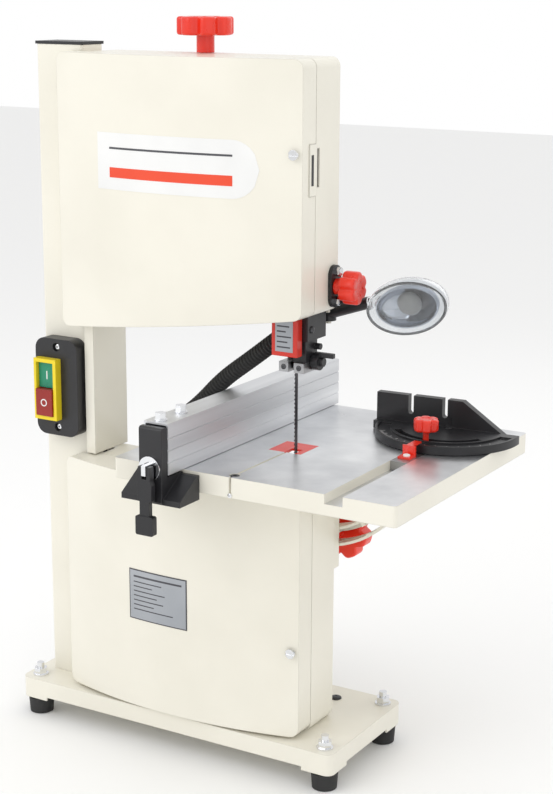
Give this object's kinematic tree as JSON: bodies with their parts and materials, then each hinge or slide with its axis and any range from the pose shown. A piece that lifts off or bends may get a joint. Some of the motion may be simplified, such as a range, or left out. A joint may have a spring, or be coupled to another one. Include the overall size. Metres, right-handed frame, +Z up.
{
  "type": "bench-top band saw",
  "caption": "Bench-top band saw with a steel column, two wheel cases with bowed doors, tilting slotted table, rip fence, mitre gauge, lamp and dust hose.",
  "frame": {"origin": "on the bench, under the middle of the saw's bounding box", "axes": "+X to the right along the wheel cases, +Y to the back, +Z up"},
  "size_m": [0.499, 0.358, 0.7584],
  "materials": {
    "cream_paint": "fine orange-peel paint",
    "rubber_black": "matte",
    "chrome_steel": "bright plated",
    "black_plastic": "satin moulded",
    "red_plastic": "moulded",
    "red_paint": "gloss",
    "steel": "machined",
    "cast_metal": "painted dark",
    "aluminium": "milled",
    "yellow_plastic": "moulded",
    "green_plastic": "moulded",
    "stop_red": "moulded",
    "clear_plastic": "clear moulded"
  },
  "bodies": {
    "frame": {"base_tray": "cream_paint", "rubber_feet": "rubber_black", "foot_bolts": "chrome_steel", "column_tube": "cream_paint", "column_cap": "black_plastic", "hinge_pins": "chrome_steel", "return_guard": "cream_paint", "upper_pan": "cream_paint", "lower_pan": "cream_paint", "bearing_housing": "cream_paint", "motor_body": "cast_metal", "dust_port": "black_plastic", "trunnion_bracket": "cream_paint", "lower_guide": "steel", "height_plate": "black_plastic", "switch_box": "black_plastic", "switch_surround": "yellow_plastic", "band_blade": "steel", "drive_belt": "rubber_black", "dust_hose": "rubber_black"},
    "upper_door": {"upper_door": "cream_paint"},
    "lower_door": {"lower_door": "cream_paint"},
    "upper_lock": {"upper_door_lock": "chrome_steel"},
    "lower_lock": {"lower_door_lock": "chrome_steel"},
    "carriage": {"wheel_carriage": "cast_metal"},
    "tilt_block": {"axle_block": "steel"},
    "tracking": {"tracking_knob": "red_plastic"},
    "tension": {"tension_knob": "red_plastic", "tension_screw": "steel"},
    "upper_wheel": {"upper_wheel": "aluminium", "upper_tyre": "rubber_black"},
    "lower_wheel": {"lower_wheel": "aluminium", "lower_tyre": "rubber_black", "drive_shaft": "steel"},
    "motor_rotor": {"motor_pulley": "steel"},
    "guide": {"guide_post": "steel", "guide_body": "black_plastic", "guide_blocks": "steel", "blade_guard": "red_paint"},
    "guide_lock": {"guide_lock": "black_plastic"},
    "thrust": {"thrust_bearing": "steel"},
    "height": {"height_pinion": "steel", "height_knob": "red_plastic"},
    "table": {"table": "aluminium", "table_insert": "red_plastic", "table_trunnion": "cream_paint"},
    "tilt_knob": {"tilt_knob": "red_plastic"},
    "fence": {"fence_beam": "aluminium", "fence_bracket": "black_plastic", "fence_hardware": "chrome_steel"},
    "fence_lever": {"fence_lever": "black_plastic"},
    "mitre_bar": {"mitre_bar": "steel", "mitre_pointer": "red_plastic"},
    "mitre_head": {"mitre_head": "black_plastic"},
    "mitre_knob": {"mitre_knob": "red_plastic"},
    "lamp_arm": {"lamp_arm": "black_plastic"},
    "lamp_head": {"lamp_shell": "clear_plastic", "lamp_lens": "clear_plastic"},
    "start": {"start_button": "green_plastic"},
    "stop": {"stop_button": "stop_red"}
  },
  "joints": [
    {"name": "upper_door_hinge", "type": "hinge", "parent": "frame", "child": "upper_door", "pos_m": [-0.1845, -0.049, 0.58], "axis": [0, 0, -1], "range_deg": [0, 110]},
    {"name": "lower_door_hinge", "type": "hinge", "parent": "frame", "child": "lower_door", "pos_m": [-0.1845, -0.049, 0.165], "axis": [0, 0, -1], "range_deg": [0, 22]},
    {"name": "upper_lock_turn", "type": "hinge", "parent": "upper_door", "child": "upper_lock", "pos_m": [0.0895, -0.061, 0.635], "axis": [0, 1, 0], "range_deg": [0, 90]},
    {"name": "lower_lock_turn", "type": "hinge", "parent": "lower_door", "child": "lower_lock", "pos_m": [0.0895, -0.061, 0.137], "axis": [0, 1, 0], "range_deg": [0, 90]},
    {"name": "carriage_slide", "type": "slide", "parent": "frame", "child": "carriage", "axis": [0, 0, 1], "range_m": [-0.012, 0]},
    {"name": "tension_turn", "type": "hinge", "parent": "frame", "child": "tension", "pos_m": [-0.0515, 0.003, 0.74], "axis": [0, 0, 1], "range_deg": [-3460, 5]},
    {"name": "tracking_tilt", "type": "hinge", "parent": "carriage", "child": "tilt_block", "pos_m": [-0.0515, 0.003, 0.598], "axis": [1, 0, 0], "range_deg": [-0.5, 0.5]},
    {"name": "tracking_turn", "type": "hinge", "parent": "carriage", "child": "tracking", "pos_m": [-0.0515, 0.027, 0.574], "axis": [0, 1, 0], "range_deg": [-77, 77]},
    {"name": "lower_wheel_spin", "type": "hinge", "parent": "frame", "child": "lower_wheel", "pos_m": [-0.0515, -0.017, 0.173], "axis": [0, 1, 0], "continuous": true},
    {"name": "upper_wheel_spin", "type": "hinge", "parent": "tilt_block", "child": "upper_wheel", "pos_m": [-0.0515, -0.017, 0.598], "axis": [0, 1, 0], "continuous": true},
    {"name": "motor_spin", "type": "hinge", "parent": "frame", "child": "motor_rotor", "pos_m": [-0.1195, 0.001, 0.106], "axis": [0, 1, 0], "continuous": true},
    {"name": "guide_slide", "type": "slide", "parent": "frame", "child": "guide", "axis": [0, 0, 1], "range_m": [-0.07, 0.01], "deforming": ["dust_hose"]},
    {"name": "height_turn", "type": "hinge", "parent": "frame", "child": "height", "pos_m": [0.0905, 0.0031, 0.502], "axis": [1, 0, 0], "range_deg": [-72, 503]},
    {"name": "guide_lock_turn", "type": "hinge", "parent": "guide", "child": "guide_lock", "pos_m": [0.0905, -0.011, 0.4275], "axis": [1, 0, 0], "range_deg": [-45, 45]},
    {"name": "thrust_spin", "type": "hinge", "parent": "guide", "child": "thrust", "pos_m": [0.0665, -0.0083, 0.4215], "axis": [1, 0, 0], "continuous": true},
    {"name": "table_tilt", "type": "hinge", "parent": "frame", "child": "table", "pos_m": [0.0665, 0.036, 0.334], "axis": [0, 1, 0], "range_deg": [0, 45]},
    {"name": "tilt_knob_turn", "type": "hinge", "parent": "frame", "child": "tilt_knob", "pos_m": [0.08097, 0.057, 0.23101], "axis": [0, 1, 0], "range_deg": [-90, 90]},
    {"name": "fence_slide", "type": "slide", "parent": "table", "child": "fence", "axis": [-1, 0, 0], "range_m": [-0.036, 0.045]},
    {"name": "fence_lever_turn", "type": "hinge", "parent": "fence", "child": "fence_lever", "pos_m": [-0.0055, -0.175, 0.342], "axis": [-1, 0, 0], "range_deg": [0, 110]},
    {"name": "mitre_slide", "type": "slide", "parent": "table", "child": "mitre_bar", "axis": [0, -1, 0], "range_m": [0, 0.12]},
    {"name": "mitre_turn", "type": "hinge", "parent": "mitre_bar", "child": "mitre_head", "pos_m": [0.1735, 0.115, 0.34], "axis": [0, 0, 1], "range_deg": [-50, 50]},
    {"name": "mitre_knob_turn", "type": "hinge", "parent": "mitre_bar", "child": "mitre_knob", "pos_m": [0.1735, 0.062, 0.35], "axis": [0, 0, 1], "range_deg": [-90, 90]},
    {"name": "lamp_arm_swing", "type": "hinge", "parent": "frame", "child": "lamp_arm", "pos_m": [0.0765, 0.031, 0.47], "axis": [0, 0, 1], "range_deg": [-3, 60]},
    {"name": "lamp_head_turn", "type": "hinge", "parent": "lamp_arm", "child": "lamp_head", "pos_m": [0.1265, 0.025, 0.485], "axis": [0.9516, -0.1142, 0.2855], "range_deg": [-35, 35]},
    {"name": "start_press", "type": "slide", "parent": "frame", "child": "start", "axis": [0, 1, 0], "range_m": [0, 0.0025], "stiffness_N_per_m": 300},
    {"name": "stop_press", "type": "slide", "parent": "frame", "child": "stop", "axis": [0, 1, 0], "range_m": [0, 0.0025], "stiffness_N_per_m": 300}
  ],
  "couplings": [
    {"joint": "tension_turn", "follows": "carriage_slide", "rad_per_m": 5026.5},
    {"joint": "tracking_turn", "follows": "tracking_tilt", "ratio": 150.8},
    {"joint": "upper_wheel_spin", "follows": "lower_wheel_spin", "ratio": 1},
    {"joint": "motor_spin", "follows": "lower_wheel_spin", "ratio": 1.1429},
    {"joint": "height_turn", "follows": "guide_slide", "rad_per_m": -125}
  ]
}
